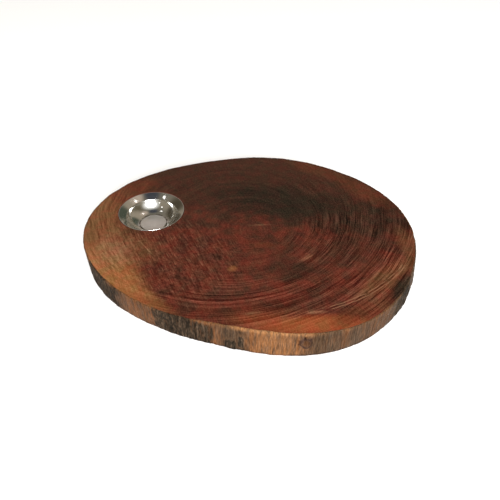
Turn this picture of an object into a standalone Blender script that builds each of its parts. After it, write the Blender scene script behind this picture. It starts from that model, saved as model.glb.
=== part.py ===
"""Chip and dip server: a live-edge slice of a log, a lift-out steel dip bowl and four screwed rubber feet.

The slice is cut across the log, so its faces show the growth rings and its rim is the outside of the trunk. The bowl
hangs by its sloping collar in a countersunk hole that goes right through, so that a finger can push it up from below.

Frame: metres, +Z up. The origin is on the table, under the middle of the object's box. +X runs along the slice's
longest side, and +Y runs away from the side that faces the user.
"""

import math

import bmesh
import bpy

MM = 0.001
GAP = 0.3 * MM  # left wherever two pieces touch

# The slice. A lobe is (waves in one turn, height, angle of the wave's phase in degrees).
SLAB_RADIUS = 184.7 * MM
SLAB_THICKNESS = 31.75 * MM
SLAB_LOBES = (
    (1, 6.0 * MM, 8),
    (2, 18.4 * MM, -18),
    (3, 5.1 * MM, -171),
    (5, 1.8 * MM, 77),
    (6, 0.8 * MM, 37),
)
# How much further out the underside's edge runs than the top's, as the trunk flares.
FLARE = 0.6 * MM
FLARE_LOBES = ((1, 2.0 * MM, -5), (3, 1.3 * MM, 73), (5, 1.8 * MM, -56))
TOP_EDGE_ROUND = 1.2 * MM
UNDERSIDE_EDGE_ROUND = 2.4 * MM
OUTLINE_STEPS = 144
EDGE_STEPS = 3

# The dip bowl, measured on its inner side, down from its rim.
BOWL_PLACE = (-123.5 * MM, 35.5 * MM)  # from the middle of the top face's outline
RIM_RADIUS = 41.5 * MM
WELL_RADIUS = 33.0 * MM  # where the sloping collar turns down into the well
COLLAR_DROP = 6.0 * MM
WALL_SLOPES = (17, 70)  # of the well's curved wall in degrees, at its foot and at the collar
BASE_RADIUS = 16.6 * MM  # of the flat middle
BASE_RISE = 0.7 * MM  # it stands proud of the narrow trough around it
TROUGH_SLOPE = 0.9 * MM  # how far out the flat takes to drop into the trough
TROUGH_WIDTH = 0.4 * MM
BOWL_SHEET = 0.8 * MM
WALL_STEPS = 9
BOWL_STEPS = 64

# The hole that it hangs in.
RIM_CLEARANCE = 0.9 * MM
WELL_CLEARANCE = 0.8 * MM

# The feet, with their washers and screws.
UNDERSIDE_HEIGHT = 7.0 * MM
FOOT_RADIUS = 9.5 * MM
FOOT_TAPER = 1.0 * MM
FOOT_EDGE_ROUND = 0.8 * MM
FOOT_WEB = 2.5 * MM  # rubber left between the washer and the wood
FOOT_POCKET_RADIUS = 5.2 * MM
FEET_CIRCLE = 155.0 * MM
FEET_ANGLES = (36, 128, -144, -36)
WASHER_RADIUS = 4.7 * MM
WASHER_THICKNESS = 1.0 * MM
SCREW_LENGTH = 16.0 * MM
SCREW_CORE = 1.3 * MM
THREAD_RADIUS = 1.9 * MM
THREAD_PITCH = 1.6 * MM
THREAD_TURNS = 7
HEAD_RADIUS = 3.6 * MM
HEAD_HEIGHT = 2.0 * MM
DRIVE_WIDTH = 1.0 * MM
DRIVE_REACH = 3.6 * MM
DRIVE_DEPTH = 1.2 * MM
SHANK_CLEARANCE = 0.4 * MM
FOOT_STEPS = 24
SCREW_STEPS = 16

TOP_HEIGHT = UNDERSIDE_HEIGHT + SLAB_THICKNESS


# ---------------------------------------------------------------------------------------------- helpers


def make_collection(name):
    collection = bpy.data.collections.new(name)
    bpy.context.scene.collection.children.link(collection)
    return collection


def make_material(name, colour, roughness, metallic=0.0):
    material = bpy.data.materials.new(name)
    material.use_nodes = True
    surface = material.node_tree.nodes["Principled BSDF"]
    surface.inputs["Base Color"].default_value = (*colour, 1.0)
    surface.inputs["Roughness"].default_value = roughness
    surface.inputs["Metallic"].default_value = metallic
    material.diffuse_color = (*colour, 1.0)
    return material


def make_object(name, mesh, collection, material=None):
    obj = bpy.data.objects.new(name, mesh)
    collection.objects.link(obj)
    if material:
        mesh.materials.append(material)
    return obj


def turned(name, profile, steps, collection, material=None, closed=False):
    """A profile of (radius, height) points turned about Z. It runs down the outer side of the solid."""
    mesh = bpy.data.meshes.new(name)
    count = len(profile)
    edges = [(i, (i + 1) % count) for i in range(count if closed else count - 1)]
    mesh.from_pydata([(radius, 0.0, height) for radius, height in profile], edges, [])
    obj = make_object(name, mesh, collection, material)
    screw = obj.modifiers.new("turn", "SCREW")
    screw.axis = "Z"
    screw.angle = math.tau
    screw.steps = screw.render_steps = steps
    screw.use_merge_vertices = True
    screw.merge_threshold = 0.00001
    screw.use_smooth_shade = True
    return obj


def cut(obj, cutter):
    boolean = obj.modifiers.new(f"cut_{cutter.name}", "BOOLEAN")
    boolean.operation = "DIFFERENCE"
    boolean.object = cutter


def as_cutter(obj):
    obj.hide_render = True
    obj.display_type = "WIRE"
    return obj


def finished_mesh(obj, name, smooth_below=35):
    """The mesh that the object's modifiers make, with round surfaces smooth and corners sharp."""
    graph = bpy.context.evaluated_depsgraph_get()
    mesh = bpy.data.meshes.new_from_object(obj.evaluated_get(graph))
    mesh.name = name
    mesh.shade_smooth()
    mesh.set_sharp_from_angle(angle=math.radians(smooth_below))
    return mesh


def replace_mesh(obj):
    """Applies the object's modifiers."""
    mesh = finished_mesh(obj, obj.name)
    obj.modifiers.clear()
    obj.data = mesh
    return obj


# ---------------------------------------------------------------------------------------------- the slice


def lobed(base, lobes, angle):
    """A length that swells and shrinks around the turn."""
    return base + sum(
        height * math.cos(waves * angle - math.radians(phase))
        for waves, height, phase in lobes
    )


def slab_radius(angle, share_down):
    """Distance from the log's middle to its side, share_down of the way from the top face to the underside."""
    flare = lobed(FLARE, FLARE_LOBES, angle)
    return lobed(SLAB_RADIUS, SLAB_LOBES, angle) + share_down * flare


def side_levels():
    """(height above the underside, inset) of each ring of the slice's side, from the underside to the top."""
    quarter = [i / EDGE_STEPS * math.pi / 2 for i in range(EDGE_STEPS + 1)]
    levels = [
        (UNDERSIDE_EDGE_ROUND * (1 - math.cos(a)), UNDERSIDE_EDGE_ROUND * (1 - math.sin(a)))
        for a in quarter
    ]
    levels += [
        (
            SLAB_THICKNESS - TOP_EDGE_ROUND * (1 - math.sin(a)),
            TOP_EDGE_ROUND * (1 - math.cos(a)),
        )
        for a in quarter
    ]
    return levels


def slab_ring(height, inset):
    share_down = 1 - height / SLAB_THICKNESS
    angles = [i / OUTLINE_STEPS * math.tau for i in range(OUTLINE_STEPS)]
    radii = [slab_radius(angle, share_down) - inset for angle in angles]
    return [
        (radius * math.cos(angle), radius * math.sin(angle))
        for radius, angle in zip(radii, angles)
    ]


def slab_middle():
    """The middle of the box around the whole side, seen from above."""
    points = [point for level in side_levels() for point in slab_ring(*level)]
    return tuple(
        (min(p[axis] for p in points) + max(p[axis] for p in points)) / 2
        for axis in (0, 1)
    )


def make_slab(collection, material):
    """A loft between the underside's outline and the top's, which no primitive makes."""
    middle_x, middle_y = slab_middle()
    shape = bmesh.new()
    rings = [
        [
            shape.verts.new((x - middle_x, y - middle_y, UNDERSIDE_HEIGHT + height))
            for x, y in slab_ring(height, inset)
        ]
        for height, inset in side_levels()
    ]
    for low, high in zip(rings, rings[1:]):
        for i in range(OUTLINE_STEPS):
            after = (i + 1) % OUTLINE_STEPS
            shape.faces.new((low[i], low[after], high[after], high[i]))
    shape.faces.new(reversed(rings[0]))
    shape.faces.new(rings[-1])
    mesh = bpy.data.meshes.new("board")
    shape.to_mesh(mesh)
    shape.free()
    return make_object("board", mesh, collection, material)


# ---------------------------------------------------------------------------------------------- the dip bowl


def bowl_place():
    """Where the bowl's axis stands, in the object's frame."""
    middle_x, middle_y = slab_middle()
    return BOWL_PLACE[0] - middle_x, BOWL_PLACE[1] - middle_y


def bowl_inside():
    """The bowl's inner side, from the middle of its base to its rim, with heights down from the rim."""
    foot, top = map(math.radians, WALL_SLOPES)
    foot_radius = BASE_RADIUS + TROUGH_SLOPE + TROUGH_WIDTH
    curve = (WELL_RADIUS - foot_radius) / (math.sin(top) - math.sin(foot))
    centre_radius = WELL_RADIUS - curve * math.sin(top)
    centre_height = -COLLAR_DROP + curve * math.cos(top)
    trough_floor = centre_height - curve * math.cos(foot)
    profile = [
        (0.0, trough_floor + BASE_RISE),
        (BASE_RADIUS, trough_floor + BASE_RISE),
        (BASE_RADIUS + TROUGH_SLOPE, trough_floor),
    ]
    for i in range(WALL_STEPS + 1):
        slope = foot + i / WALL_STEPS * (top - foot)
        profile.append(
            (
                centre_radius + curve * math.sin(slope),
                centre_height - curve * math.cos(slope),
            )
        )
    profile.append((RIM_RADIUS, 0.0))
    return profile


def make_bowl(collection, material):
    """The inner side turned into a surface, then thickened outwards to the sheet's thickness."""
    bowl = turned("dip_bowl", bowl_inside(), BOWL_STEPS, collection, material)
    sheet = bowl.modifiers.new("sheet", "SOLIDIFY")
    sheet.thickness = BOWL_SHEET
    sheet.offset = -1.0
    sheet.use_even_offset = True
    bowl.location = (*bowl_place(), TOP_HEIGHT)
    return bowl


def make_bowl_hole(cutters):
    """The countersunk hole: a rebate for the rim, a cone under the collar, then straight through."""
    slope = COLLAR_DROP / (RIM_RADIUS - WELL_RADIUS)
    under_collar = BOWL_SHEET * math.hypot(1, slope) + GAP
    rim_radius = RIM_RADIUS + RIM_CLEARANCE
    hole_radius = WELL_RADIUS + BOWL_SHEET + WELL_CLEARANCE

    def seat(radius):
        return -(RIM_RADIUS - radius) * slope - under_collar

    over, under = 5 * MM, -SLAB_THICKNESS - 5 * MM
    profile = [
        (0.0, over),
        (rim_radius, over),
        (rim_radius, seat(rim_radius)),
        (hole_radius, seat(hole_radius)),
        (hole_radius, under),
        (0.0, under),
    ]
    hole = as_cutter(turned("bowl_hole", profile, BOWL_STEPS, cutters))
    hole.location = (*bowl_place(), TOP_HEIGHT)
    return hole


# ---------------------------------------------------------------------------------------------- the feet


def foot_places():
    middle_x, middle_y = slab_middle()
    for angle in map(math.radians, FEET_ANGLES):
        yield (
            FEET_CIRCLE * math.cos(angle) - middle_x,
            FEET_CIRCLE * math.sin(angle) - middle_y,
        )


def shank_hole():
    return THREAD_RADIUS + SHANK_CLEARANCE


def washer_top():
    return UNDERSIDE_HEIGHT - GAP - FOOT_WEB - GAP


def head_top():
    """The screw head's flat side, which bears on the washer."""
    return washer_top() - WASHER_THICKNESS - GAP


def foot_mesh(cutters):
    """A tapered rubber button with a stepped hole, standing on the table."""
    top = UNDERSIDE_HEIGHT - GAP
    sole = FOOT_RADIUS - FOOT_TAPER
    profile = [
        (shank_hole(), top),
        (FOOT_RADIUS - FOOT_EDGE_ROUND / 2, top),
        (FOOT_RADIUS, top - FOOT_EDGE_ROUND / 2),
        (sole, FOOT_EDGE_ROUND),
        (sole - FOOT_EDGE_ROUND, 0.0),
        (FOOT_POCKET_RADIUS, 0.0),
        (FOOT_POCKET_RADIUS, top - FOOT_WEB),
        (shank_hole(), top - FOOT_WEB),
    ]
    return finished_mesh(turned("foot_form", profile, FOOT_STEPS, cutters, closed=True), "foot")


def washer_mesh(cutters):
    top, hole = washer_top(), shank_hole()
    bottom = top - WASHER_THICKNESS
    profile = [(hole, top), (WASHER_RADIUS, top), (WASHER_RADIUS, bottom), (hole, bottom)]
    return finished_mesh(turned("washer_form", profile, FOOT_STEPS, cutters, closed=True), "washer")


def screw_mesh(cutters):
    """A pan-head wood screw standing on its head, its thread drawn as rings, with a cross drive cut from below."""
    seat = head_top()
    tip = seat + SCREW_LENGTH
    profile = [(0.0, tip), (SCREW_CORE, tip - 2 * SCREW_CORE)]
    thread_start = tip - 2 * SCREW_CORE
    for turn in range(THREAD_TURNS):
        crest = thread_start - (turn + 0.5) * THREAD_PITCH
        profile += [(THREAD_RADIUS, crest), (SCREW_CORE, crest - THREAD_PITCH / 2)]
    crown = HEAD_RADIUS * 0.72
    profile += [
        (SCREW_CORE, seat),
        (HEAD_RADIUS, seat),
        (HEAD_RADIUS, seat - HEAD_HEIGHT * 0.45),
        (crown, seat - HEAD_HEIGHT),
        (0.0, seat - HEAD_HEIGHT),
    ]
    screw = turned("screw_form", profile, SCREW_STEPS, cutters)
    drive_floor = seat - HEAD_HEIGHT + DRIVE_DEPTH
    for name, size_x, size_y in (
        ("drive_x", DRIVE_REACH, DRIVE_WIDTH),
        ("drive_y", DRIVE_WIDTH, DRIVE_REACH),
    ):
        bpy.ops.mesh.primitive_cube_add(size=1.0)
        slot = as_cutter(bpy.context.object)
        slot.name = name
        slot.scale = (size_x, size_y, 2 * DRIVE_DEPTH)
        slot.location = (0.0, 0.0, drive_floor - DRIVE_DEPTH)
        bpy.context.collection.objects.unlink(slot)
        cutters.objects.link(slot)
        cut(screw, slot)
    return finished_mesh(screw, "foot_screw")


def make_feet(collection, cutters, rubber, steel):
    """Four feet, each a rubber button, a washer and a screw. The copies share their meshes."""
    kinds = (
        ("foot", foot_mesh(cutters), rubber),
        ("foot_washer", washer_mesh(cutters), steel),
        ("foot_screw", screw_mesh(cutters), steel),
    )
    for _, mesh, material in kinds:
        mesh.materials.clear()
        mesh.materials.append(material)
    for number, (x, y) in enumerate(foot_places(), start=1):
        for kind, mesh, _ in kinds:
            make_object(f"{kind}_{number}", mesh, collection).location = (x, y, 0.0)


def make_pilot_holes(cutters):
    """Blind holes in the slice's underside for the four screws."""
    depth = SCREW_LENGTH + head_top() - UNDERSIDE_HEIGHT + 2 * MM
    below = 3 * MM
    for number, (x, y) in enumerate(foot_places(), start=1):
        profile = [
            (0.0, depth),
            (shank_hole(), depth - shank_hole()),
            (shank_hole(), -below),
            (0.0, -below),
        ]
        hole = as_cutter(turned(f"pilot_hole_{number}", profile, SCREW_STEPS, cutters))
        hole.location = (x, y, UNDERSIDE_HEIGHT)
        yield hole


# ---------------------------------------------------------------------------------------------- the assembly


def main():
    for obj in list(bpy.data.objects):
        bpy.data.objects.remove(obj)
    server = make_collection("chip_and_dip_server")
    cutters = make_collection("cutters")
    wood = make_material("oiled_hardwood", (0.13, 0.038, 0.018), 0.42)
    steel = make_material("polished_steel", (0.72, 0.71, 0.68), 0.12, metallic=1.0)
    zinc = make_material("zinc_plated_steel", (0.62, 0.62, 0.60), 0.35, metallic=1.0)
    rubber = make_material("black_rubber", (0.018, 0.018, 0.018), 0.75)

    board = make_slab(server, wood)
    cut(board, make_bowl_hole(cutters))
    for hole in make_pilot_holes(cutters):
        cut(board, hole)
    replace_mesh(board)
    replace_mesh(make_bowl(server, steel))
    make_feet(server, cutters, rubber, zinc)
    for obj in list(cutters.objects):
        as_cutter(obj)


main()
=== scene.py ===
"""The looks of the chip and dip server: an end-grain slice of a log with a live edge, and a steel dip bowl.

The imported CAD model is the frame. The slice, the bowl and the feet are rebuilt here as finer meshes at the
CAD's places, with procedural materials. Lengths are in metres and +Z is up. The user sits at -Y.
"""

import math

import bpy
import numpy as np
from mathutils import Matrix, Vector, geometry, noise
from mathutils.bvhtree import BVHTree


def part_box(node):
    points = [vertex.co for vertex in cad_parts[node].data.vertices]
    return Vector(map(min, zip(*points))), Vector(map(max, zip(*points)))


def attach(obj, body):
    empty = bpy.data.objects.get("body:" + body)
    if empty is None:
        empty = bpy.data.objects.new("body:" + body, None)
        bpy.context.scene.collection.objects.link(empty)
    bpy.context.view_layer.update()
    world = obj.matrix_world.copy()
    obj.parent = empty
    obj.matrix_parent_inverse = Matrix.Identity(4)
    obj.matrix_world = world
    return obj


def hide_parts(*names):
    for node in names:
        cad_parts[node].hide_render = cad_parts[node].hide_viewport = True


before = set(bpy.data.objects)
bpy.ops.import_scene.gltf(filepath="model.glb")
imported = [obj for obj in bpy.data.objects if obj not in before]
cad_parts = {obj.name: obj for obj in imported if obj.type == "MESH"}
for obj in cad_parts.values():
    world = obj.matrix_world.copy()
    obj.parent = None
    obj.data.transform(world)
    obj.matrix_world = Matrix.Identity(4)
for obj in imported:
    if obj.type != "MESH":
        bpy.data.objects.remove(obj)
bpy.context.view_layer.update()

MM = 0.001

# ------------------------------------------------------------------------------------- what the CAD gives


def cad_tree(node):
    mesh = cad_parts[node].data
    return BVHTree.FromPolygons([v.co for v in mesh.vertices], [p.vertices for p in mesh.polygons])


def reach(tree, start, direction):
    """How far a straight line runs from start before it meets the CAD solid."""
    return tree.ray_cast(Vector(start), Vector(direction))[3]


def node_axis(node):
    low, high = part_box(node)
    return (low.x + high.x) / 2, (low.y + high.y) / 2


def node_radius(node):
    low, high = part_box(node)
    return (high.x - low.x) / 2


BOARD_LOW, BOARD_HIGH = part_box("board")
TOP = BOARD_HIGH.z
UNDERSIDE = BOARD_LOW.z
THICKNESS = TOP - UNDERSIDE
BOARD_TREE = cad_tree("board")
BOWL_TREE = cad_tree("dip_bowl")
BOWL_X, BOWL_Y = node_axis("dip_bowl")
FOOT_NUMBERS = (1, 2, 3, 4)
FEET = [node_axis(f"foot_{number}") for number in FOOT_NUMBERS]


# ------------------------------------------------------------------------------------- shader helper

# What lifting a colour adds in each channel, and the darkest that it can get, both as the eye counts light.
LIFT_STEP = (1.2, 0.95, 0.8)
NEAR_BLACK = (0.05, 0.04, 0.03)
EYE_GAMMA = 2.2


class Shader:
    """Nodes added with short calls. A value may be a number, a colour or another node's output."""

    def __init__(self, owner, coordinates):
        owner.use_nodes = True
        self.tree = owner.node_tree
        self.place = self.node("ShaderNodeTexCoord", {}, coordinates)

    def feed(self, socket, value):
        if isinstance(value, bpy.types.NodeSocket):
            self.tree.links.new(value, socket)
        else:
            socket.default_value = value

    def node(self, kind, inputs, output=0, **settings):
        node = self.tree.nodes.new(kind)
        for name, value in settings.items():
            setattr(node, name, value)
        for socket, value in inputs.items():
            self.feed(node.inputs[socket], value)
        return node.outputs[output]

    def stretched(self, x, y, z, turn=0.0):
        """The object's coordinates turned back by an angle about Z, then scaled."""
        inputs = {"Vector": self.place, "Rotation": (0.0, 0.0, -math.radians(turn))}
        turned = self.node("ShaderNodeMapping", inputs)
        return self.node("ShaderNodeMapping", {"Vector": turned, "Scale": (x, y, z)})

    def height(self):
        return self.node("ShaderNodeSeparateXYZ", {0: self.place}, "Z")

    def field(self, name):
        """A number stored on the mesh's points."""
        return self.node("ShaderNodeAttribute", {}, "Fac", attribute_name=name)

    def math(self, operation, a, b=0.0):
        return self.node("ShaderNodeMath", {0: a, 1: b}, operation=operation)

    def noise(self, place, scale=1.0, detail=2.0, roughness=0.5):
        inputs = {"Vector": place, "Scale": scale, "Detail": detail, "Roughness": roughness}
        return self.node("ShaderNodeTexNoise", inputs)

    def swing(self, place, scale, detail, size):
        """Noise about zero, at most about half of size either way."""
        return self.math("MULTIPLY", self.math("SUBTRACT", self.noise(place, scale, detail, 0.6), 0.5), size)

    def rise(self, value, low, high, floor=0.0, ceiling=1.0):
        """A smooth step: floor below low, ceiling above high."""
        inputs = {"Value": value, "From Min": low, "From Max": high, "To Min": floor, "To Max": ceiling}
        return self.node("ShaderNodeMapRange", inputs, interpolation_type="SMOOTHSTEP")

    def band(self, value, middle, half_width):
        """One at the middle, falling smoothly to nothing a half width away."""
        away = self.math("ABSOLUTE", self.math("SUBTRACT", value, middle))
        return self.rise(away, 0.0, half_width, 1.0, 0.0)

    def away(self, x, y, half_length, half_width, turn):
        """Distance from a place on the face, in units of an ellipse's own size. All sizes in mm."""
        inputs = {
            "Vector": self.place,
            "Location": (x * MM, y * MM, 0.0),
            "Rotation": (0.0, 0.0, math.radians(turn)),
            "Scale": (half_length * MM, half_width * MM, 1.0),
        }
        local = self.node("ShaderNodeMapping", inputs, vector_type="TEXTURE")
        return self.node("ShaderNodeVectorMath", {0: local}, "Value", operation="LENGTH")

    def spot(self, x, y, half_length, half_width, turn=0.0, soft=0.5, ragged=0.0):
        """One inside an ellipse and nothing outside, with a soft rim that the ragged noise breaks up."""
        away = self.math("ADD", self.away(x, y, half_length, half_width, turn), ragged)
        return self.rise(away, 1.0 - soft, 1.0 + soft, 1.0, 0.0)

    def blend(self, share, a, b, how="MIX"):
        inputs = {0: share, 6: a, 7: b}
        return self.node("ShaderNodeMix", inputs, 2, data_type="RGBA", blend_type=how, clamp_factor=True)

    def lift(self, colour, amount):
        """The colour made lighter or darker by much the same step to the eye in all three channels."""
        seen = self.node("ShaderNodeGamma", {"Color": colour, "Gamma": 1 / EYE_GAMMA})
        step = self.node("ShaderNodeVectorMath", {0: LIFT_STEP, "Scale": amount}, operation="SCALE")
        moved = self.node("ShaderNodeVectorMath", {0: seen, 1: step}, operation="ADD")
        above_black = self.node("ShaderNodeVectorMath", {0: moved, 1: NEAR_BLACK}, operation="MAXIMUM")
        return self.node("ShaderNodeGamma", {"Color": above_black, "Gamma": EYE_GAMMA})

    def bump(self, height, distance):
        """Relief of height times distance."""
        return self.node("ShaderNodeBump", {"Height": height, "Distance": distance, "Strength": 1.0})


class Material(Shader):
    """A material with one Principled surface."""

    def __init__(self, name):
        self.material = bpy.data.materials.new(name)
        super().__init__(self.material, "Object")

    def finish(self, **inputs):
        """Sets the surface's sockets, with _ for the spaces in their names, and returns the material."""
        surface = self.tree.nodes["Principled BSDF"]
        for name, value in inputs.items():
            self.feed(surface.inputs[name.replace("_", " ")], value)
        return self.material


def rgb(red, green, blue):
    return (red, green, blue, 1.0)


# ------------------------------------------------------------------------------------- wood: sawn faces

# The rings are circles. Their middle starts at the pith and drifts by RING_DRIFT for each unit of radius.
PITH = (10.0, -10.0)  # mm
RING_DRIFT = (-0.2, 0.35)

HEART = rgb(0.106, 0.0245, 0.0135)
HEART_DEEP = rgb(0.056, 0.0185, 0.0108)
BROWN = rgb(0.04, 0.0172, 0.01)
UMBER = rgb(0.0195, 0.013, 0.0078)
SAPWOOD = rgb(0.16, 0.066, 0.0275)
HONEY = rgb(0.255, 0.1, 0.035)
ORANGE = rgb(0.265, 0.06, 0.0215)
RUST = rgb(0.108, 0.0315, 0.0138)
PALE = rgb(0.3, 0.145, 0.078)
DRY = rgb(0.15, 0.08, 0.048)
REDDER = rgb(1.10, 0.94, 0.95)
GREENER = rgb(0.91, 1.05, 0.98)

# Soft patches on the face: colour, share, then x, y, half length, half width in mm, turn and softness.
FACE_PATCHES = (
    (BROWN, 0.85, 20, 150, 240, 130, 0, 0.35),
    (RUST, 0.45, 95, 138, 44, 16, -32, 0.5),
    (RUST, 0.50, 152, 84, 42, 16, -52, 0.5),
    (UMBER, 0.80, 22, 64, 66, 32, -8, 0.55),
    (UMBER, 0.72, 128, 24, 98, 34, -12, 0.5),
    (BROWN, 0.45, 120, -42, 48, 30, 20, 0.5),
    (BROWN, 0.30, 34, -38, 30, 22, 0, 0.5),
    (SAPWOOD, 0.95, -222, -8, 66, 125, 0, 0.30),
    (RUST, 0.60, -158, 82, 36, 20, 48, 0.5),
    (HONEY, 0.90, -152, -82, 52, 22, -50, 0.5),
    (HONEY, 0.55, -112, -120, 34, 10, -34, 0.5),
    (SAPWOOD, 0.50, -140, -42, 32, 26, 10, 0.5),
    (PALE, 0.32, -162, -46, 20, 26, 10, 0.6),
    (UMBER, 0.50, 46, -78, 24, 16, 0, 0.45),
    (RUST, 0.75, 20, -146, 40, 12, 0, 0.5),
    (ORANGE, 0.35, 15, -151, 30, 9, 0, 0.5),
    (ORANGE, 0.85, 64, -157, 56, 11, 4, 0.45),
    (HONEY, 0.35, 66, -156, 40, 8, 4, 0.6),
    (RUST, 0.60, 118, -139, 38, 11, 28, 0.45),
    (SAPWOOD, 0.50, 155, -86, 46, 12, 42, 0.5),
    (SAPWOOD, 0.40, 192, -45, 12, 42, 8, 0.5),
    (UMBER, 0.95, 167, -105, 28, 10, 57, 0.45),
    (HONEY, 0.50, -19, -74, 4.8, 4.0, 20, 0.6),
    (PALE, 0.25, 14, 6, 11, 1.3, 4, 0.8),
    (ORANGE, 0.18, 17, -33, 11, 5, 0, 0.6),
    (PALE, 0.22, 66, -56, 9, 2.6, 32, 0.9),
    (PALE, 0.40, 68, -140, 9, 1.8, 3, 0.6),
    (PALE, 0.30, 4, -141, 11, 1.6, 8, 0.6),
    (PALE, 0.40, -122, -38, 14, 0.8, -52, 0.6),
)
# Old checks in the face, pale with dust: the middle and radius of the arc that each follows.
CHECK_MIDDLE = (24.8, 45.9)
CHECK_RADII = (190.8, 187.2)
# Where the rings stand out: share, then a spot.
RING_ZONES = (
    (1.0, 138, -62, 84, 100, 0, 0.5),
    (1.0, 30, -122, 120, 34, 0, 0.5),
    (0.5, -175, -30, 50, 110, 0, 0.5),
)
SAW_MARKS = (-100, -48, 88, 64, -30, 0.45)  # the spot where the saw has left its marks
SAW_TURN = 116  # the way that the saw's teeth ran
CHECKS = (128, -108, 66, 24, 40, 0.3)  # the spot where the checks show


def ring_lines(s):
    """Growth rings: wide bands and fine lines along the ring coordinate, from -1 to 1."""
    ring = s.math("ADD", s.field("ring"), s.swing(s.place, 14.0, 3.0, 8.0))
    ring = s.math("ADD", ring, s.swing(s.place, 80.0, 3.0, 1.6))
    across_rings = s.node("ShaderNodeCombineXYZ", {"X": ring})
    place = s.node("ShaderNodeVectorMath", {0: across_rings, 1: s.stretched(60, 60, 60)}, operation="ADD")
    bands = s.rise(s.noise(place, 0.2, 1.0, 0.5), 0.32, 0.68, -0.4, 0.4)
    fine = s.rise(s.noise(place, 0.48, 2.0, 0.7), 0.36, 0.64, -0.75, 0.75)
    clarity = s.rise(s.noise(s.place, 40.0, 2.0), 0.3, 0.7, 0.55, 1.35)
    return s.math("MULTIPLY", s.math("ADD", bands, fine), clarity)


def saw_lines(s):
    """Straight strokes along the way that the saw ran, with fainter ones across them, from -1 to 1."""
    along = s.rise(s.noise(s.stretched(50, 420, 1, SAW_TURN), 1.0, 2.0, 0.6), 0.36, 0.64, -0.65, 0.65)
    across = s.rise(s.noise(s.stretched(330, 110, 1, SAW_TURN - 12), 1.0, 2.0, 0.6), 0.34, 0.66, -0.35, 0.35)
    return s.math("ADD", along, across)


def sawn_face_material(name, dryness):
    """End grain: growth rings about the pith, saw marks, pores, old checks and soft patches of colour."""
    s = Material(name)
    ragged = s.swing(s.place, 24.0, 4.0, 1.0)
    pores = s.rise(s.noise(s.stretched(420, 800, 1, SAW_TURN), 1.0, 2.0, 0.7), 0.32, 0.68, -1.0, 1.0)

    colour = s.blend(s.rise(s.noise(s.place, 48.0, 4.0, 0.6), 0.34, 0.66), HEART_DEEP, HEART)
    for tint, share, *ellipse in FACE_PATCHES:
        colour = s.blend(s.math("MULTIPLY", s.spot(*ellipse, ragged), share), colour, tint)
    cast = s.blend(s.rise(s.noise(s.place, 75.0, 2.0, 0.6), 0.35, 0.65), REDDER, GREENER)
    colour = s.blend(1.0, colour, cast, "MULTIPLY")

    lines = ring_lines(s)
    zone = 0.0
    for share, *ellipse in RING_ZONES:
        zone = s.math("MAXIMUM", zone, s.math("MULTIPLY", s.spot(*ellipse), share))
    sawn = s.spot(*SAW_MARKS, ragged)
    texture = s.math("MULTIPLY", lines, s.rise(zone, 0.0, 1.0, 0.020, 0.070))
    texture = s.math("ADD", texture, s.math("MULTIPLY", saw_lines(s), s.rise(sawn, 0.0, 1.0, 0.012, 0.050)))
    texture = s.math("ADD", texture, s.math("MULTIPLY", pores, 0.035))
    colour = s.lift(colour, s.math("SUBTRACT", texture, 0.008))

    dashes = s.rise(s.noise(s.stretched(70, 700, 1, SAW_TURN), 1.0, 1.0, 0.5), 0.63, 0.74)
    colour = s.blend(s.math("MULTIPLY", s.math("MULTIPLY", dashes, sawn), 0.36), colour, PALE)

    from_middle = s.math("ADD", s.away(*CHECK_MIDDLE, 1, 1, 0), s.swing(s.place, 50.0, 4.0, 4.0))
    checks = s.math("MAXIMUM", *(s.band(from_middle, radius, 1.0) for radius in CHECK_RADII))
    broken = s.rise(s.noise(s.place, 90.0, 2.0), 0.30, 0.50)
    checks = s.math("MULTIPLY", s.math("MULTIPLY", checks, broken), s.spot(*CHECKS, ragged))
    colour = s.blend(s.math("MULTIPLY", checks, 0.62), colour, PALE)

    colour = s.blend(dryness, colour, DRY)
    return s.finish(
        Base_Color=colour,
        Roughness=s.rise(lines, -1.0, 1.0, 0.44 + dryness, 0.56 + dryness),
        Specular_IOR_Level=0.08,
        Normal=s.bump(s.math("SUBTRACT", s.math("MULTIPLY", texture, 8.0), checks), 0.08 * MM),
    )


# ------------------------------------------------------------------------------------- wood: live edge

TAN = rgb(0.158, 0.0625, 0.0235)
GREY_BROWN = rgb(0.068, 0.0365, 0.0185)
BARK = rgb(0.026, 0.0175, 0.0105)
WORN = rgb(0.33, 0.150, 0.058)
SHADOW = rgb(0.013, 0.008, 0.005)
KNOT = rgb(0.021, 0.0092, 0.0063)
WORN_FRONT = (20, -170, 44, 40, 0, 0.6)  # where the upper edge has worn pale, as a spot
FRESH_FRONT = (27, -172, 24, 30, 0, 0.6)  # where the side is paler all the way down


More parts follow.
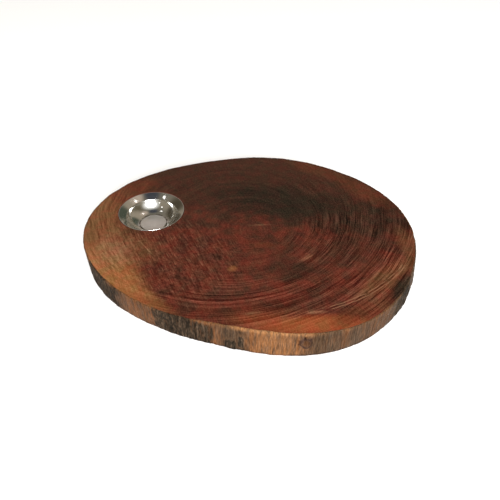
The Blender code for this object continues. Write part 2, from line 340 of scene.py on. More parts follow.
def live_edge_material():
    """The outside of the trunk: upright fibres, grey where weathered, some bark, and a worn upper edge."""
    s = Material("live_edge")
    streaks = s.rise(s.noise(s.stretched(360, 360, 16), 1.0, 3.0, 0.7), 0.32, 0.68, -1.0, 1.0)
    fibres = s.rise(s.noise(s.stretched(1000, 1000, 70), 1.0, 3.0, 0.65), 0.32, 0.68, -1.0, 1.0)
    clefts = s.rise(s.noise(s.stretched(520, 520, 24), 1.0, 2.0, 0.5), 0.60, 0.70)
    blots = s.swing(s.stretched(70, 70, 40), 1.0, 4.0, 1.0)

    colour = s.blend(s.rise(s.math("ADD", s.field("weathered"), blots), 0.15, 0.95), TAN, GREY_BROWN)

    height = s.math("ADD", s.height(), s.swing(s.place, 90.0, 4.0, 5.0 * MM))
    worn = s.rise(height, TOP - 5.5 * MM, TOP - 0.5 * MM)
    worn = s.math("MULTIPLY", worn, s.rise(s.spot(*WORN_FRONT, blots), 0.0, 1.0, 0.10, 1.0))
    colour = s.blend(s.math("MULTIPLY", s.spot(*FRESH_FRONT, blots), 0.4), colour, WORN)
    colour = s.blend(worn, colour, WORN)

    crumbs = s.rise(s.noise(s.stretched(380, 380, 150), 1.0, 4.0, 0.7), 0.32, 0.68, -1.0, 1.0)
    crumbled = s.swing(s.stretched(150, 150, 50), 1.0, 4.0, 0.8)
    frayed = s.math("ADD", s.math("MULTIPLY", streaks, 0.42), crumbled)
    cover = s.math("ADD", s.field("bark"), frayed)
    bark = s.rise(cover, 0.05, 0.80)
    colour = s.blend(s.rise(cover, -0.35, 0.25, 0.0, 0.55), colour, BARK)
    colour = s.blend(s.math("MULTIPLY", bark, 0.95), colour, BARK)

    # Painted shade in the clefts, and painted shade darkening the side towards its foot.
    colour = s.blend(s.math("MULTIPLY", clefts, 0.45), colour, SHADOW)
    colour = s.blend(s.rise(height, UNDERSIDE + 4.5 * MM, UNDERSIDE + 0.5 * MM, 0.0, 0.6), colour, SHADOW)
    knot = s.math("MULTIPLY", s.field("knot"), s.rise(fibres, -1.0, 1.0, 0.75, 1.0))
    colour = s.blend(knot, colour, KNOT)

    texture = s.math("ADD", s.math("MULTIPLY", streaks, 0.050), s.math("MULTIPLY", fibres, 0.050))
    texture = s.math("ADD", texture, s.math("MULTIPLY", s.math("MULTIPLY", crumbs, bark), 0.055))
    colour = s.lift(colour, texture)

    relief = s.math("SUBTRACT", s.math("MULTIPLY", texture, 9.0), clefts)
    return s.finish(
        Base_Color=colour,
        Roughness=s.rise(bark, 0.0, 1.0, 0.62, 0.88),
        Specular_IOR_Level=0.08,
        Normal=s.bump(relief, 0.3 * MM),
    )


def bored_wall_material():
    """The walls of the drilled holes: the cutter leaves fine level lines across upright grain."""
    s = Material("bored_wood")
    grain = s.noise(s.stretched(220, 220, 20), 1.0, 3.0, 0.6)
    cutter = s.noise(s.stretched(6, 6, 1800), 1.0, 1.0, 0.5)
    return s.finish(
        Base_Color=s.blend(s.rise(grain, 0.3, 0.7), HEART_DEEP, HEART),
        Roughness=s.rise(grain, 0.2, 0.8, 0.72, 0.58),
        Specular_IOR_Level=0.2,
        Normal=s.bump(s.math("ADD", cutter, s.math("MULTIPLY", grain, 0.5)), 0.08 * MM),
    )


# ------------------------------------------------------------------------------------- mesh helper


class MeshParts:
    """Points and faces gathered for one mesh, with a material number for each face."""

    def __init__(self):
        self.points = []
        self.faces = []
        self.kinds = []

    def add_points(self, points):
        start = len(self.points)
        self.points += points
        return list(range(start, len(self.points)))

    def add_circle(self, x, y, radius, height, steps):
        """A level circle of points, or a single point where the radius is nothing."""
        if radius < 1e-7:
            return self.add_points([(x, y, height)])
        angles = [i / steps * math.tau for i in range(steps)]
        return self.add_points([(x + radius * math.cos(a), y + radius * math.sin(a), height) for a in angles])

    def add_face(self, face, kind):
        self.faces.append(face)
        self.kinds.append(kind)

    def bridge(self, upper, lower, kind):
        """Joins two closed loops, either of which may be a single point.

        With anticlockwise loops, the wall faces out where upper is the higher one, and in where it is lower.
        """
        steps = max(len(upper), len(lower))
        for i in range(steps):
            after = (i + 1) % steps
            if len(upper) == 1:
                self.add_face((upper[0], lower[i], lower[after]), kind)
            elif len(lower) == 1:
                self.add_face((upper[i], lower[0], upper[after]), kind)
            else:
                self.add_face((upper[i], lower[i], lower[after], upper[after]), kind)

    def fill(self, rim, holes, grid, height, kind, facing_up):
        """Triangles over a flat face inside the rim and outside the holes, through the grid's points.

        Each hole is (loop, x, y, radius), where the loop is an evenly stepped circle.
        """
        loops = [rim] + [loop for loop, *_ in holes]
        inner = self.add_points([(x, y, height) for x, y in grid])
        ids = [i for loop in loops for i in loop] + inner
        edges, start = [], 0
        for loop in loops:
            edges += [(start + i, start + (i + 1) % len(loop)) for i in range(len(loop))]
            start += len(loop)
        flat = [Vector(self.points[i][:2]) for i in ids]
        inside_only = 1
        points, _, triangles, origins, _, _ = geometry.delaunay_2d_cdt(flat, edges, [], inside_only, 1e-9)
        for triangle in triangles:
            middle = sum((points[i] for i in triangle), Vector((0.0, 0.0))) / 3
            if any(math.dist(middle, (x, y)) < r * math.cos(math.pi / len(loop)) for loop, x, y, r in holes):
                continue
            face = [ids[origins[i][0]] for i in triangle]
            self.add_face(face if facing_up else face[::-1], kind)

    def mesh(self, name, materials, smooth_below):
        mesh = bpy.data.meshes.new(name)
        mesh.from_pydata(self.points, [], self.faces)
        for material in materials:
            mesh.materials.append(material)
        mesh.polygons.foreach_set("material_index", self.kinds)
        mesh.shade_smooth()
        mesh.set_sharp_from_angle(angle=math.radians(smooth_below))
        return mesh


def store(mesh, name, values):
    """Keeps a number for each point. Points past the end of values get nothing."""
    padded = np.zeros(len(mesh.vertices), np.float32)
    padded[: len(values)] = values
    mesh.attributes.new(name, "FLOAT", "POINT").data.foreach_set("value", padded)


def add_piece(name, mesh, body, node, place=(0.0, 0.0, 0.0)):
    """Puts a mesh in the scene, to ride on a CAD body and stand for a CAD node."""
    piece = bpy.data.objects.new(name, mesh)
    piece.location = place
    bpy.context.scene.collection.objects.link(piece)
    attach(piece, body)
    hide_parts(node)
    return piece


# ------------------------------------------------------------------------------------- the slice's shape

COLUMNS = 1600
SIDE_ROWS = 26
EDGE_ROWS = 5
OUTLINE_WAVES = 24
GRID_STEP = 4.0 * MM
HOLE_COLUMNS = 256
PILOT_COLUMNS = 24

# Bark left on the side: angle and half span in degrees, then where it starts and ends as shares of the
# thickness from the top.
BARK_PATCHES = (
    (-154, 13, -0.1, 1.1),
    (-116, 14, -0.1, 1.1),
    (-97, 2.4, 0.6, 1.1),
    (-93, 1.3, 0.4, 0.8),
    (-32, 8, 0.0, 1.0),
    (42, 9, 0.2, 1.0),
    (88, 14, 0.0, 0.7),
    (131, 7, 0.3, 1.0),
)
# Grey weathered wood on the side: angle and half span in degrees, then how grey.
WEATHERED_PATCHES = (
    (-24, 26, 1.0),
    (-54, 9, 0.75),
    (-42, 6, 0.4),
    (-65, 9, 0.85),
    (-96, 7, 0.9),
    (-131, 4, 0.5),
    (-143, 5, 0.6),
    (30, 18, 1.0),
    (160, 22, 1.0),
)
SIDE_KNOT = (-71.5, 0.40)  # angle, share of the thickness from the top
SIDE_KNOT_RADIUS = 6.5 * MM


def outline(height):
    """The CAD slice's radius around its side at one height, as a smooth periodic series."""
    samples = 720
    far = 2 * BOARD_HIGH.x
    radii = []
    for i in range(samples):
        angle = i / samples * math.tau
        out = Vector((math.cos(angle), math.sin(angle), 0.0))
        radii.append(far - reach(BOARD_TREE, out * far + Vector((0, 0, height)), -out))
    waves = np.fft.rfft(radii)
    waves[OUTLINE_WAVES:] = 0
    return np.fft.irfft(waves, COLUMNS) * COLUMNS / samples


TOP_OUTLINE = outline(TOP - 3 * MM)
LOW_OUTLINE = outline(UNDERSIDE + 4 * MM)


def side_radius(column, share_down):
    """The smooth radius of the side, straight from the top outline to the lower one."""
    top_share, low_share = 3 * MM / THICKNESS, 1 - 4 * MM / THICKNESS
    share = (share_down - top_share) / (low_share - top_share)
    return TOP_OUTLINE[column] + share * (LOW_OUTLINE[column] - TOP_OUTLINE[column])


def smooth(low, high, value):
    t = min(max((value - low) / (high - low), 0.0), 1.0)
    return t * t * (3 - 2 * t)


def rough(x, y, z, across, along):
    """Noise from -1 to 1 whose features are across wide and along tall."""
    return noise.noise(Vector((x / across, y / across, z / along)))


def turn_between(a, b):
    """The difference between two angles in degrees, from -180 to 180."""
    return (a - b + 180) % 360 - 180


def bark_cover(degrees, share_down, x, y, z):
    """How much bark is left at a place on the side, from 0 to 1."""
    ragged = 0.45 * rough(x, y, z, 9 * MM, 16 * MM) + 0.25 * rough(x, y, z, 3 * MM, 7 * MM)
    cover = 0.0
    for angle, span, start, end in BARK_PATCHES:
        across = abs(turn_between(degrees, angle)) / span
        down = abs(share_down - (start + end) / 2) / ((end - start) / 2 + 0.06)
        cover = max(cover, 1.0 - across**2 - down**4 + ragged)
    return smooth(0.05, 0.75, cover)


def weathering(degrees):
    return max(
        amount * smooth(1.3, 0.3, abs(turn_between(degrees, angle)) / span)
        for angle, span, amount in WEATHERED_PATCHES
    )


def from_knot(degrees, share_down, radius):
    """Distance from the middle of the knot in the side, in units of its uneven radius."""
    along = math.radians(turn_between(degrees, SIDE_KNOT[0])) * radius
    down = (share_down - SIDE_KNOT[1]) * THICKNESS
    uneven = 1 + 0.5 * rough(along, down, 0, 4 * MM, 2)
    return math.hypot(along, down) / (SIDE_KNOT_RADIUS * uneven)


def knot_shade(knot_away):
    """How dark the knot is at a distance from its middle: a dark ring, paler inside."""
    return (0.4 + 0.6 * smooth(0.5, 0.85, knot_away)) * smooth(1.3, 0.9, knot_away)


def side_relief(x, y, z, bark, knot_away):
    """How far the live edge stands out from its smooth form."""
    flutes = 0.55 * MM * rough(x, y, z, 17 * MM, 110 * MM)
    ridges = 0.34 * MM * rough(x, y, z, 4.6 * MM, 42 * MM)
    fibres = 0.15 * MM * rough(x, y, z, 1.8 * MM, 13 * MM)
    plates = 0.30 * MM * rough(x, y, z, 3.2 * MM, 5.0 * MM)
    knot = 0.9 * MM * (smooth(1.6, 0.8, knot_away) - 1.3 * smooth(0.75, 0.35, knot_away))
    return flutes + ridges + fibres + knot + bark * (0.6 * MM + plates)


def ring_field(xs, ys):
    """The radius in mm of the growth ring through each place, on the drifting circles."""
    away_x, away_y = xs / MM - PITH[0], ys / MM - PITH[1]
    drift_x, drift_y = RING_DRIFT
    along = away_x * drift_x + away_y * drift_y
    spread = 1 - drift_x**2 - drift_y**2
    return (np.sqrt(along**2 + spread * (away_x**2 + away_y**2)) - along) / spread


def face_points(holes):
    """A staggered grid of points inside the outline and clear of the holes, each (loop, x, y, radius)."""
    points = []
    rows = int(2 * BOARD_HIGH.y / GRID_STEP)
    for row in range(-rows // 2, rows // 2 + 1):
        y = row * GRID_STEP
        x = -BOARD_HIGH.x + (row % 2) * GRID_STEP / 2
        while x < BOARD_HIGH.x:
            column = int(math.atan2(y, x) / math.tau * COLUMNS) % COLUMNS
            rim = min(TOP_OUTLINE[column], LOW_OUTLINE[column]) - 1.2 * GRID_STEP
            clear = all(math.dist((x, y), (cx, cy)) > radius + 0.8 * GRID_STEP for _, cx, cy, radius in holes)
            if math.hypot(x, y) < rim and clear:
                points.append((x, y))
            x += GRID_STEP
    return points


def side_levels(worn_top, worn_foot):
    """(depth below the top, inset) of each row of the side, round at both edges."""
    quarter = [i / EDGE_ROWS * math.pi / 2 for i in range(EDGE_ROWS + 1)]
    levels = [(worn_top * (1 - math.cos(t)), worn_top * (1 - math.sin(t))) for t in quarter]
    span = THICKNESS - worn_top - worn_foot
    levels += [(worn_top + span * i / SIDE_ROWS, 0.0) for i in range(1, SIDE_ROWS)]
    foot = [(worn_foot * (1 - math.cos(t)), worn_foot * (1 - math.sin(t))) for t in reversed(quarter)]
    return levels + [(THICKNESS - height, inset) for height, inset in foot]


def side_rows(parts):
    """The live edge's points, row by row, and how much bark, weathering and knot each has."""
    rows = [[] for _ in range(SIDE_ROWS + 2 * EDGE_ROWS + 1)]
    fields = {"bark": [], "weathered": [], "knot": []}
    for column in range(COLUMNS):
        angle = column / COLUMNS * math.tau
        degrees = math.degrees(angle)
        cos, sin = math.cos(angle), math.sin(angle)
        edge_x, edge_y = TOP_OUTLINE[column] * cos, TOP_OUTLINE[column] * sin
        worn_top = 1.5 * MM + 0.7 * MM * rough(edge_x, edge_y, 0, 16 * MM, 1)
        worn_foot = 1.6 * MM + 0.8 * MM * rough(edge_x, edge_y, 9, 12 * MM, 1)
        for row, (depth, inset) in enumerate(side_levels(worn_top, worn_foot)):
            share_down = depth / THICKNESS
            radius = side_radius(column, share_down)
            x, y, z = radius * cos, radius * sin, TOP - depth
            bark = bark_cover(degrees, share_down, x, y, z)
            knot_away = from_knot(degrees, share_down, radius)
            radius += side_relief(x, y, z, bark, knot_away) - inset
            rows[row] += parts.add_points([(radius * cos, radius * sin, z)])
            fields["bark"].append(bark)
            fields["weathered"].append(weathering(degrees))
            fields["knot"].append(knot_shade(knot_away))
    return rows, fields


def bowl_hole_levels():
    """(radius, height) down the wall of the bowl's hole, measured on the CAD slice."""

    def wall(height):
        return reach(BOARD_TREE, (BOWL_X, BOWL_Y, height), (0, 1, 0))

    def seat(radius):
        return TOP + MM - reach(BOARD_TREE, (BOWL_X, BOWL_Y + radius, TOP + MM), (0, 0, -1))

    rim, bore = wall(TOP - 0.3 * MM), wall(UNDERSIDE + 3 * MM)
    corner = 0.25 * MM
    return [
        (rim + corner, TOP),
        (rim, TOP - corner),
        (rim, seat(rim - 0.2 * MM)),
        (bore, seat(bore + 0.2 * MM)),
        (bore, UNDERSIDE + 2 * corner),
        (bore + 2 * corner, UNDERSIDE),
    ]


def pilot_levels(x, y):
    """(radius, height) up a screw's blind hole, measured on the CAD slice."""
    radius = reach(BOARD_TREE, (x, y, UNDERSIDE + 2 * MM), (0, 1, 0))
    depth = reach(BOARD_TREE, (x, y, UNDERSIDE - MM), (0, 0, 1)) - MM
    return [(radius, UNDERSIDE), (radius, UNDERSIDE + depth - radius), (0.0, UNDERSIDE + depth)]


FACE, SIDE, BORED, UNDERNEATH = range(4)


def make_board():
    parts = MeshParts()
    rows, fields = side_rows(parts)
    for upper, lower in zip(rows, rows[1:]):
        parts.bridge(upper, lower, SIDE)

    def bore(x, y, levels, steps):
        """The wall of a hole, from its first level to its last. Its first and last loops are returned."""
        loops = [parts.add_circle(x, y, radius, height, steps) for radius, height in levels]
        for above, below in zip(loops, loops[1:]):
            parts.bridge(below, above, BORED)
        return loops[0], loops[-1]

    levels = bowl_hole_levels()
    mouth, outlet = bore(BOWL_X, BOWL_Y, levels, HOLE_COLUMNS)
    holes = [(mouth, BOWL_X, BOWL_Y, levels[0][0])]
    parts.fill(rows[0], holes, face_points(holes), TOP, FACE, True)

    holes = [(outlet, BOWL_X, BOWL_Y, levels[-1][0])]
    for x, y in FEET:
        levels = pilot_levels(x, y)
        _, mouth = bore(x, y, levels[::-1], PILOT_COLUMNS)
        holes.append((mouth, x, y, levels[0][0]))
    parts.fill(rows[-1], holes, face_points(holes), UNDERSIDE, UNDERNEATH, False)

    top_face = sawn_face_material("oiled_end_grain", 0.0)
    underside = sawn_face_material("dry_end_grain", 0.22)
    mesh = parts.mesh("slice", [top_face, live_edge_material(), bored_wall_material(), underside], 42)
    points = np.array(parts.points)
    store(mesh, "ring", ring_field(points[:, 0], points[:, 1]))
    for name, values in fields.items():
        store(mesh, name, values)
    add_piece("live_edge_slice", mesh, "board", "board")


# ------------------------------------------------------------------------------------- turned shapes


def arc(centre, radius, start, end, steps):
    """Points on an arc in the profile's plane. Angles in degrees, 0 outwards and 90 up."""
    angles = [math.radians(start + (end - start) * i / steps) for i in range(steps + 1)]
    return [(centre[0] + radius * math.cos(a), centre[1] + radius * math.sin(a)) for a in angles]


def eased(corners, steps=4):
    """A closed profile from (radius, height, easing) corners, rounded from easing away on either side."""
    points = []
    for i, (x, z, easing) in enumerate(corners):
        corner = Vector((x, z))
        before = Vector(corners[i - 1][:2])
        after = Vector(corners[(i + 1) % len(corners)][:2])
        start = corner + (before - corner).normalized() * easing
        end = corner + (after - corner).normalized() * easing
        for step in range(steps + 1):
            t = step / steps
            points.append(tuple(start * (1 - t) ** 2 + corner * 2 * t * (1 - t) + end * t**2))
    return points


def lathe(name, profile, steps, material, x=0.0, y=0.0, closed=False):
    """A profile of (radius, height) turned about an upright axis, up its inner side and down its outer."""
    parts = MeshParts()
    loops = [parts.add_circle(x, y, radius, height, steps) for radius, height in profile]
    for upper, lower in zip(loops, loops[1:] + loops[:1] if closed else loops[1:]):
        parts.bridge(upper, lower, 0)
    return parts.mesh(name, [material], 40)


# ------------------------------------------------------------------------------------- the bowl

BOWL_STEPS = 192
COLLAR_DROP = 6.0 * MM
WALL_SLOPES = (17, 70)  # of the well's curved wall in degrees, at its foot and at the collar
SHEET = 0.8 * MM
BASE_RADIUS = 16.6 * MM
FOOT_RADIUS = 17.9 * MM  # where the wall starts, across the trough from the base
TROUGH_SHADE_WIDTH = 1.3 * MM  # of the painted shade in the trough, on either side of the wall's foot
BEND = 2.2 * MM  # radius of the bend between the wall and the collar


def polished_steel_material():
    """Mirror-bright spun steel with faint waves and rub streaks, a satin base, and painted shade in the
    trough round it.
    """
    s = Material("polished_steel")
    waves = s.noise(s.place, 38.0, 1.0, 0.4)
    rubs = s.noise(s.stretched(90, 1300, 700, 25), 1.0, 2.0, 0.6)
    smear = s.noise(s.place, 60.0, 3.0, 0.6)
    satin = s.field("satin")
    gloss = s.math("ADD", s.rise(satin, 0.0, 1.0, 0.10, 0.36), s.rise(smear, 0.35, 0.75, 0.0, 0.06))
    colour = s.blend(s.rise(smear, 0.3, 0.7), rgb(0.82, 0.81, 0.78), rgb(0.76, 0.75, 0.72))
    # Dashes of painted shade in the trough round the base, darkening the steel's colour.
    trough_shade_dashes = s.rise(s.noise(s.place, 420.0, 2.0), 0.38, 0.55, 0.1, 0.95)
    return s.finish(
        Base_Color=s.blend(s.math("MULTIPLY", s.field("trough"), trough_shade_dashes), colour, rgb(0.10, 0.075, 0.05)),
        Metallic=1.0,
        Roughness=gloss,
        Normal=s.bump(s.math("ADD", waves, s.math("MULTIPLY", rubs, 0.004)), 0.05 * MM),
    )


def bowl_profile():
    """From the middle of the base up the inner side, over the lip, and down the outer side to the middle."""
    rim_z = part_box("dip_bowl")[1].z
    rim_radius = node_radius("dip_bowl")
    bend_z = rim_z - COLLAR_DROP
    well_radius = reach(BOWL_TREE, (BOWL_X, BOWL_Y, bend_z - 0.05 * MM), (1, 0, 0))
    base_z = rim_z + MM - reach(BOWL_TREE, (BOWL_X, BOWL_Y, rim_z + MM), (0, 0, -1))
    lip = SHEET / 2
    slope = math.degrees(math.atan2(COLLAR_DROP, rim_radius - lip - well_radius))

    # The wall is one arc. Its ends lie on circles about the same centre for the inner and the outer side.
    foot, top = (math.radians(angle) for angle in WALL_SLOPES)
    curve = (well_radius - FOOT_RADIUS) / (math.sin(top) - math.sin(foot))
    centre = (well_radius - curve * math.sin(top), bend_z + curve * math.cos(top))
    floor_z = centre[1] - curve * math.cos(foot)

    # The bend between the wall and the collar is a small arc that touches both.
    turn = WALL_SLOPES[1] - slope
    bend_reach = BEND * math.tan(math.radians(turn) / 2)
    bend_start = (well_radius - bend_reach * math.cos(top), bend_z - bend_reach * math.sin(top))
    bend_centre = (bend_start[0] + BEND * math.sin(top), bend_start[1] - BEND * math.cos(top))
    wall_end = WALL_SLOPES[1] - math.degrees(bend_reach / curve)
    inner = [
        (0.0, base_z),
        (BASE_RADIUS - 0.3 * MM, base_z),
        (BASE_RADIUS + 0.1 * MM, base_z - 0.1 * MM),
        (BASE_RADIUS + 0.8 * MM, floor_z + 0.08 * MM),
        (BASE_RADIUS + 1.0 * MM, floor_z),
    ]
    inner += arc(centre, curve, WALL_SLOPES[0] - 90, wall_end - 90, 36)
    inner += arc(bend_centre, BEND, 90 + WALL_SLOPES[1], 90 + slope, 8)[1:]
    inner += arc((rim_radius - lip, rim_z - lip), lip, 90 + slope, -90 + slope, 8)
    outer = arc(bend_centre, BEND - SHEET, 90 + slope, 90 + WALL_SLOPES[1], 6)
    outer += arc(centre, curve + SHEET, wall_end - 90, WALL_SLOPES[0] - 90, 32)
    outer += [
        (BASE_RADIUS + 0.6 * MM, floor_z - SHEET),
        (BASE_RADIUS - 0.2 * MM, base_z - SHEET),
        (0.0, base_z - SHEET),
    ]
    return inner + outer


def make_bowl():
    mesh = lathe("bowl", bowl_profile(), BOWL_STEPS, polished_steel_material(), BOWL_X, BOWL_Y)
    away = [math.hypot(v.co.x - BOWL_X, v.co.y - BOWL_Y) for v in mesh.vertices]
    from_trough = [abs(distance - FOOT_RADIUS) for distance in away]
    store(mesh, "satin", [float(distance < BASE_RADIUS) for distance in away])
    # How much painted shade each point gets, in a band round the trough.
    store(mesh, "trough", [smooth(TROUGH_SHADE_WIDTH, 0.4 * TROUGH_SHADE_WIDTH, distance) for distance in from_trough])
    add_piece("dip_bowl_spun", mesh, "dip_bowl", "dip_bowl")


# ------------------------------------------------------------------------------------- the feet

FOOT_STEPS = 96
FOOT_TAPER = 1.0 * MM
FOOT_WEB = 2.5 * MM
FOOT_POCKET_RADIUS = 5.2 * MM
SHANK_HOLE = 2.3 * MM
SCREW_STEPS = 48
SCREW_CORE = 1.3 * MM
THREAD_RADIUS = 1.9 * MM
THREAD_PITCH = 1.6 * MM
THREAD_LENGTH = 11.0 * MM
ROWS_PER_TURN = 10
HEAD_HEIGHT = 2.0 * MM
HEAD_EDGE = 0.3 * MM
HEAD_CROWN = 1.2 * MM
DRIVE_WIDTH = 1.0 * MM
DRIVE_REACH = 3.6 * MM
DRIVE_DEPTH = 1.2 * MM


def rubber_material():
    """Moulded rubber: a fine matt grain, with a little dust in it."""
    s = Material("black_rubber")
    grain = s.noise(s.place, 1500.0, 3.0, 0.6)
    dust = s.noise(s.place, 130.0, 4.0, 0.65)
    dusty = s.rise(dust, 0.45, 0.75, 0.0, 0.4)
    return s.finish(
        Base_Color=s.blend(dusty, rgb(0.016, 0.016, 0.016), rgb(0.055, 0.052, 0.048)),
        Roughness=s.rise(dust, 0.3, 0.7, 0.62, 0.82),
        Specular_IOR_Level=0.35,
        Normal=s.bump(grain, 0.08 * MM),
    )


def zinc_material():
    """Zinc plating: bright with a faint cloud, over fine turning marks about the piece's own axis."""
    s = Material("zinc_plated_steel")
    flat = s.node("ShaderNodeVectorMath", {0: s.place, 1: (1.0, 1.0, 0.0)}, operation="MULTIPLY")
    radius = s.node("ShaderNodeVectorMath", {0: flat}, "Value", operation="LENGTH")
    inputs = {"W": radius, "Scale": 5200.0, "Detail": 2.0}
    turning = s.node("ShaderNodeTexNoise", inputs, noise_dimensions="1D")
    cloud = s.noise(s.place, 420.0, 4.0, 0.6)
    return s.finish(
        Base_Color=s.blend(s.rise(cloud, 0.3, 0.7), rgb(0.68, 0.68, 0.67), rgb(0.52, 0.53, 0.54)),
        Metallic=1.0,
        Roughness=s.rise(cloud, 0.25, 0.75, 0.26, 0.42),
        Normal=s.bump(s.math("ADD", turning, cloud), 0.012 * MM),
    )


def foot_mesh(rubber):
    """A tapered button with a stepped hole, standing on the table."""
    top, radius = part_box("foot_1")[1].z, node_radius("foot_1")
    corners = (
        (FOOT_POCKET_RADIUS, 0.0, 0.5 * MM),
        (FOOT_POCKET_RADIUS, top - FOOT_WEB, 0.3 * MM),
        (SHANK_HOLE, top - FOOT_WEB, 0.2 * MM),
        (SHANK_HOLE, top, 0.1 * MM),
        (radius, top, 0.5 * MM),
        (radius - FOOT_TAPER, 0.0, 1.0 * MM),
    )
    return lathe("foot", eased(corners), FOOT_STEPS, rubber, closed=True)


def washer_mesh(zinc):
    low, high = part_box("foot_washer_1")
    radius, ease = node_radius("foot_washer_1"), 0.2 * MM
    corners = [(SHANK_HOLE, low.z), (SHANK_HOLE, high.z), (radius, high.z), (radius, low.z)]
    return lathe("washer", eased([(*corner, ease) for corner in corners]), FOOT_STEPS, zinc, closed=True)


def thread_radius(angle, below_tip):
    """The screw's radius at an angle and a distance below its tip, with a single-start thread."""
    point = min(1.0, below_tip / (2 * SCREW_CORE))
    phase = (below_tip / THREAD_PITCH + angle / math.tau) % 1
    ridge = max(0.0, 1 - 3.2 * abs(phase - 0.5))
    fade = point * smooth(THREAD_LENGTH, THREAD_LENGTH - THREAD_PITCH, below_tip)
    return SCREW_CORE * point + (THREAD_RADIUS - SCREW_CORE) * ridge * fade


def screw_mesh(zinc):
    """A pan-head wood screw, point up, before its cross drive is cut."""
    low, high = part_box("foot_screw_1")
    head_radius, seat = node_radius("foot_screw_1"), low.z + HEAD_HEIGHT
    parts = MeshParts()
    loops = [parts.add_points([(0.0, 0.0, high.z)])]
    rows = int((high.z - seat) / THREAD_PITCH * ROWS_PER_TURN)
    for row in range(1, rows + 1):
        below_tip = row / rows * (high.z - seat)
        points = []
        for i in range(SCREW_STEPS):
            angle = i / SCREW_STEPS * math.tau
            radius = thread_radius(angle, below_tip)
            points.append((radius * math.cos(angle), radius * math.sin(angle), high.z - below_tip))
        loops.append(parts.add_points(points))
    head = [(head_radius - 0.1 * MM, seat)]
    head += arc((head_radius - HEAD_EDGE, seat - HEAD_EDGE), HEAD_EDGE, 45, 0, 3)
    head += arc((head_radius - HEAD_CROWN, low.z + HEAD_CROWN), HEAD_CROWN, 0, -90, 8)
    loops += [parts.add_circle(0, 0, radius, height, SCREW_STEPS) for radius, height in head + [(0.0, low.z)]]
    for upper, lower in zip(loops, loops[1:]):
        parts.bridge(upper, lower, 0)
    return parts.mesh("screw", [zinc], 40)


def wedge_mesh(along_x):
    """One arm of the cross drive, narrower at its floor than at its mouth."""
    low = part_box("foot_screw_1")[0].z
    parts = MeshParts()
    loops = []
    for height, share in ((low + DRIVE_DEPTH, 0.62), (low - DRIVE_DEPTH, 1.38)):
        length, width = DRIVE_REACH / 2 * share, DRIVE_WIDTH / 2 * (share + 1) / 2
        x, y = (length, width) if along_x else (width, length)
        loops.append(parts.add_points([(x, y, height), (-x, y, height), (-x, -y, height), (x, -y, height)]))
    parts.bridge(*loops, 0)
    parts.add_face(loops[0], 0)
    parts.add_face(loops[1][::-1], 0)
    return parts.mesh("wedge", [], 40)


def with_cross_drive(mesh):
    """The screw's mesh with the two wedges taken out of its head."""
    screw = bpy.data.objects.new("screw_form", mesh)
    wedges = [bpy.data.objects.new("wedge", wedge_mesh(along_x)) for along_x in (True, False)]
    for obj in (screw, *wedges):
        bpy.context.scene.collection.objects.link(obj)
    for wedge in wedges:
        cut = screw.modifiers.new("cut", "BOOLEAN")
        cut.object = wedge
    graph = bpy.context.evaluated_depsgraph_get()
    result = bpy.data.meshes.new_from_object(screw.evaluated_get(graph))
    for obj in (screw, *wedges):
        bpy.data.objects.remove(obj)
    return result


def make_feet():
    """Four feet, each a rubber button, a washer and a screw. The copies share their meshes."""
    zinc = zinc_material()
    kinds = (
        ("foot", foot_mesh(rubber_material()), "black_rubber"),
        ("foot_washer", washer_mesh(zinc), "zinc_plated_steel"),
        ("foot_screw", with_cross_drive(screw_mesh(zinc)), "zinc_plated_steel"),
    )
    for number, (x, y) in zip(FOOT_NUMBERS, FEET):
        for kind, mesh, slot in kinds:
            add_piece(f"{kind}_{number}_fine", mesh, "board", f"{kind}_{number}", (x, y, 0.0))


# ------------------------------------------------------------------------------------- stage

LENS = 36.0
SENSOR = 36.0
CAMERA_DISTANCE = 0.5863
CAMERA_PITCH = 40.6
LOOK_AT = (0.7 * MM, -42.1 * MM)
FLOOR_REACH = 3.0


def make_camera():
    camera = bpy.data.objects.new("camera", bpy.data.cameras.new("camera"))
    bpy.context.scene.collection.objects.link(camera)
    camera.data.lens = LENS
    camera.data.sensor_width = SENSOR
    pitch = math.radians(CAMERA_PITCH)
    camera.location = (
        LOOK_AT[0],
        LOOK_AT[1] - CAMERA_DISTANCE * math.cos(pitch),
        TOP + CAMERA_DISTANCE * math.sin(pitch),
    )
    camera.rotation_euler = (math.pi / 2 - pitch, 0.0, 0.0)
    bpy.context.scene.camera = camera


def make_floor():
    s = Material("pale_floor")
    clouds = s.noise(s.place, 3.0)
    material = s.finish(
        Base_Color=s.blend(clouds, rgb(0.96, 0.96, 0.96), rgb(0.98, 0.98, 0.98)),
        Roughness=s.rise(clouds, 0.3, 0.7, 0.85, 0.95),
        Specular_IOR_Level=0.0,
    )
    parts = MeshParts()
    corners = ((-1, -1), (1, -1), (1, 1), (-1, 1))
    parts.add_face(parts.add_points([(x * FLOOR_REACH, y * FLOOR_REACH, 0) for x, y in corners]), 0)
    floor = bpy.data.objects.new("floor", parts.mesh("floor", [material], 30))
    bpy.context.scene.collection.objects.link(floor)


def direction(azimuth, elevation):
    """A unit vector. Azimuth is in degrees from +X, anticlockwise from above."""
    a, e = math.radians(azimuth), math.radians(elevation)
    return Vector((math.cos(a) * math.cos(e), math.sin(a) * math.cos(e), math.sin(e)))


def make_lamp(name, azimuth, elevation, distance, width, height, power):
    """A soft round lamp that faces the object."""
    data = bpy.data.lights.new(name, "AREA")
    data.shape = "ELLIPSE"
    data.size = width
    data.size_y = height
    data.energy = power
    lamp = bpy.data.objects.new(name, data)
    out = direction(azimuth, elevation)
    lamp.location = out * distance
    lamp.rotation_euler = out.to_track_quat("Z", "Y").to_euler()
    bpy.context.scene.collection.objects.link(lamp)


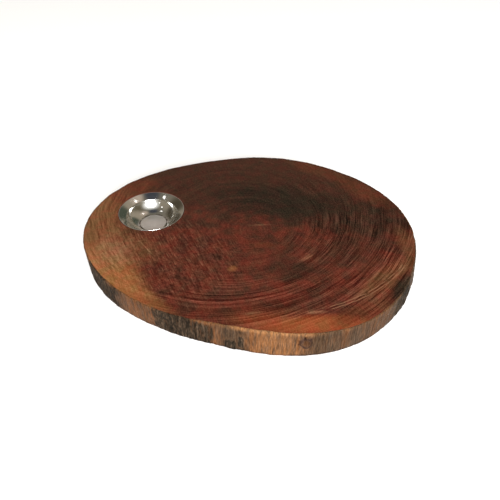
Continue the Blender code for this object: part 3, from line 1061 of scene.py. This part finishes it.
# The room that the steel mirrors. A soft patch has an azimuth, an elevation, the angles from its middle where
# it starts to fade and where it is gone, and a colour.
ROOM_WALL = rgb(0.29, 0.25, 0.19)
ROOM_CEILING = rgb(0.17, 0.155, 0.125)
ROOM_PATCHES = (
    (-5, 28, 10, 34, rgb(0.13, 0.105, 0.065)),
    (40, 40, 14, 44, rgb(0.34, 0.29, 0.22)),
    (64, 24, 12, 28, rgb(0.075, 0.085, 0.062)),
    (103, 37, 12, 30, rgb(0.46, 0.39, 0.35)),
    (160, 20, 14, 36, rgb(0.075, 0.062, 0.042)),
    (12, 66, 4, 18, rgb(0.50, 0.41, 0.33)),
    (-110, 80, 6, 18, rgb(0.05, 0.055, 0.07)),
    (-78, 33, 16, 42, rgb(0.95, 0.96, 0.93)),
)
KEY_LAMP = (-78, 33, 7.0, 4.6, 5.0, 1000)  # azimuth, elevation, distance, width, height, power
SPOT_PLACES = ((-120, 24), (-144, 43), (-171, 60), (16, 64))  # azimuth and elevation of each small lamp
SPOT_LAMP = (4.0, 0.2, 0.2, 0.8)  # distance, width, height, power


def make_world():
    """White behind the floor, and a dim room for everything that reflects."""
    world = bpy.data.worlds.new("room")
    bpy.context.scene.world = world
    s = Shader(world, "Generated")
    colour = s.blend(s.rise(s.height(), 0.5, 1.0), ROOM_WALL, ROOM_CEILING)
    for azimuth, elevation, full, gone, tint in ROOM_PATCHES:
        inputs = {0: s.place, 1: direction(azimuth, elevation)}
        facing = s.node("ShaderNodeVectorMath", inputs, "Value", operation="DOT_PRODUCT")
        share = s.rise(facing, math.cos(math.radians(gone)), math.cos(math.radians(full)))
        colour = s.blend(share, colour, tint)
    seen = s.node("ShaderNodeLightPath", {}, "Is Camera Ray")
    s.feed(s.tree.nodes["Background"].inputs["Color"], s.blend(seen, colour, rgb(1.0, 1.0, 1.0)))


def make_lights():
    make_lamp("key", *KEY_LAMP)
    for azimuth, elevation in SPOT_PLACES:
        make_lamp("spot", azimuth, elevation, *SPOT_LAMP)


def main():
    make_camera()
    make_floor()
    make_world()
    make_lights()
    bpy.context.scene.view_settings.view_transform = "Standard"
    make_board()
    make_bowl()
    make_feet()


main()
